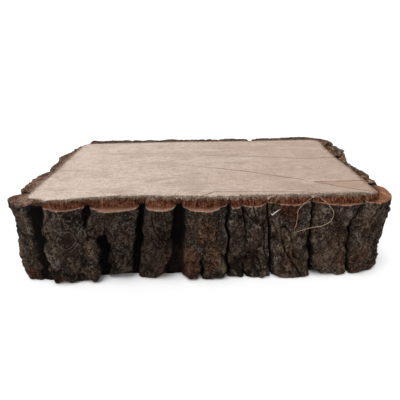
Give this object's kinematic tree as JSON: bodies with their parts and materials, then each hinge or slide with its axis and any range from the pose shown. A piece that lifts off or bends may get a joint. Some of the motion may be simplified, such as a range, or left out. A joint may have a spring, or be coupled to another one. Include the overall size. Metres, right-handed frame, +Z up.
{
  "type": "wood slice",
  "caption": "Rectangular slice of a log with flat sawn faces above and below and thick furrowed bark on every edge, lying flat.",
  "frame": {"origin": "middle of the slice's footprint, on the surface it lies on", "axes": "+X along the slice's long way, +Y to its back, away from the side the loose fibre hangs on, +Z up through the thickness"},
  "size_m": [0.3008, 0.1604, 0.073],
  "materials": {
    "bark": "dark grey-brown furrowed bark, rough and matt",
    "sawn_wood": "pale pinkish-beige wood, rough sawn, matt",
    "inner_bark": "red-brown to pale orange torn inner bark, fibrous and matt",
    "torn_fibre": "pale straw-coloured wood fibre, satin"
  },
  "bodies": {
    "root": {"wood_slice": "bark", "loose_fibre": "torn_fibre", "splinter": "torn_fibre"}
  },
  "joints": []
}
